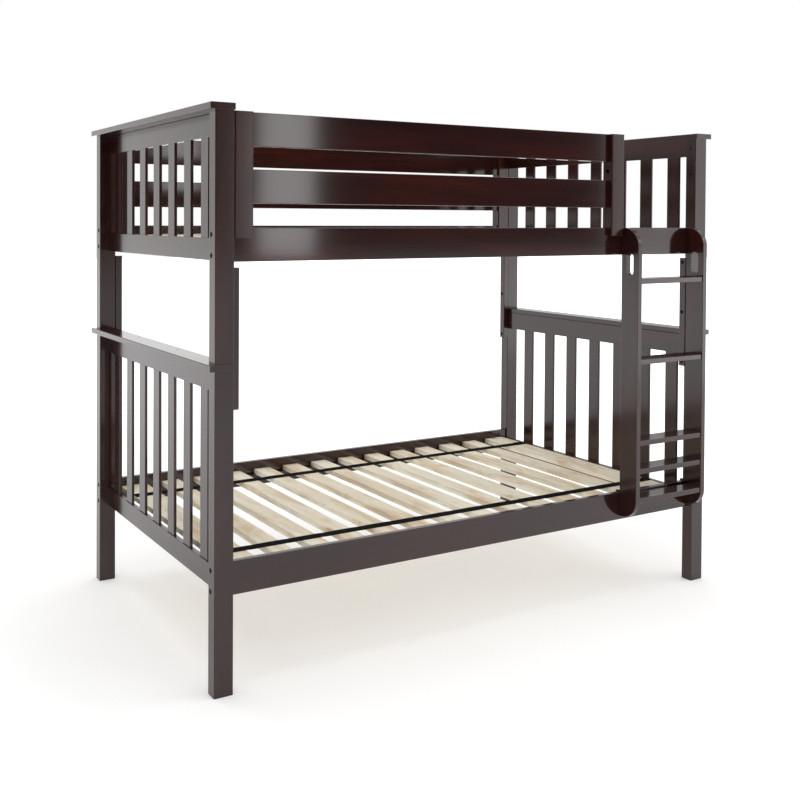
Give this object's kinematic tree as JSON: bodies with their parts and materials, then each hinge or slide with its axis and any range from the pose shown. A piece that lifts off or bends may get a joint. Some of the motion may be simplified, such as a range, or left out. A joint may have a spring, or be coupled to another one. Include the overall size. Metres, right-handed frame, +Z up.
{
  "type": "bunk bed",
  "caption": "Twin bunk bed in dark stained wood with slatted ends, pine slatted bases, plank guards and a fixed upright ladder at one end of the front.",
  "frame": {"origin": "middle of the bed's plan on the floor, under the centre of the bounding box", "axes": "+X along the length of the bed towards the ladder end, +Y from the front with the ladder to the rear, +Z up"},
  "size_m": [2.068, 1.1454, 1.687],
  "materials": {
    "espresso_wood": "satin lacquer over a dark espresso stain",
    "pine": "planed raw pine with knots",
    "webbing": "woven polyester webbing",
    "dark_metal": "black oxide"
  },
  "bodies": {
    "root": {"barrel_nuts": "dark_metal", "front_guard_middle_board": "espresso_wood", "front_guard_post_left": "espresso_wood", "front_guard_post_right": "espresso_wood", "front_guard_top_board": "espresso_wood", "join_strip_left_front": "espresso_wood", "join_strip_left_rear": "espresso_wood", "join_strip_right_front": "espresso_wood", "join_strip_right_rear": "espresso_wood", "ladder_bolts": "dark_metal", "ladder_hooks": "dark_metal", "ladder_stringer_left": "espresso_wood", "ladder_stringer_right": "espresso_wood", "ladder_tread_1": "espresso_wood", "ladder_tread_2": "espresso_wood", "ladder_tread_3": "espresso_wood", "ladder_tread_4": "espresso_wood", "ladder_tread_5": "espresso_wood", "lower_bed_slats": "pine", "lower_cap_left": "espresso_wood", "lower_cap_right": "espresso_wood", "lower_cleat_front": "espresso_wood", "lower_cleat_rear": "espresso_wood", "lower_end_bottom_rail_left": "espresso_wood", "lower_end_bottom_rail_right": "espresso_wood", "lower_end_slats_left": "espresso_wood", "lower_end_slats_right": "espresso_wood", "lower_end_top_rail_left": "espresso_wood", "lower_end_top_rail_right": "espresso_wood", "lower_post_left_front": "espresso_wood", "lower_post_left_rear": "espresso_wood", "lower_post_right_front": "espresso_wood", "lower_post_right_rear": "espresso_wood", "lower_side_rail_front": "espresso_wood", "lower_side_rail_rear": "espresso_wood", "lower_slat_straps": "webbing", "post_bolts": "dark_metal", "rail_bolts": "dark_metal", "rear_guard_middle_board": "espresso_wood", "rear_guard_post_left": "espresso_wood", "rear_guard_post_right": "espresso_wood", "rear_guard_top_board": "espresso_wood", "stacking_pins": "dark_metal", "upper_bed_slats": "pine", "upper_cap_left": "espresso_wood", "upper_cap_right": "espresso_wood", "upper_cleat_front": "espresso_wood", "upper_cleat_rear": "espresso_wood", "upper_end_bottom_rail_left": "espresso_wood", "upper_end_bottom_rail_right": "espresso_wood", "upper_end_slats_left": "espresso_wood", "upper_end_slats_right": "espresso_wood", "upper_end_top_rail_left": "espresso_wood", "upper_end_top_rail_right": "espresso_wood", "upper_post_left_front": "espresso_wood", "upper_post_left_rear": "espresso_wood", "upper_post_right_front": "espresso_wood", "upper_post_right_rear": "espresso_wood", "upper_side_rail_front": "espresso_wood", "upper_side_rail_rear": "espresso_wood", "upper_slat_straps": "webbing"}
  },
  "joints": []
}
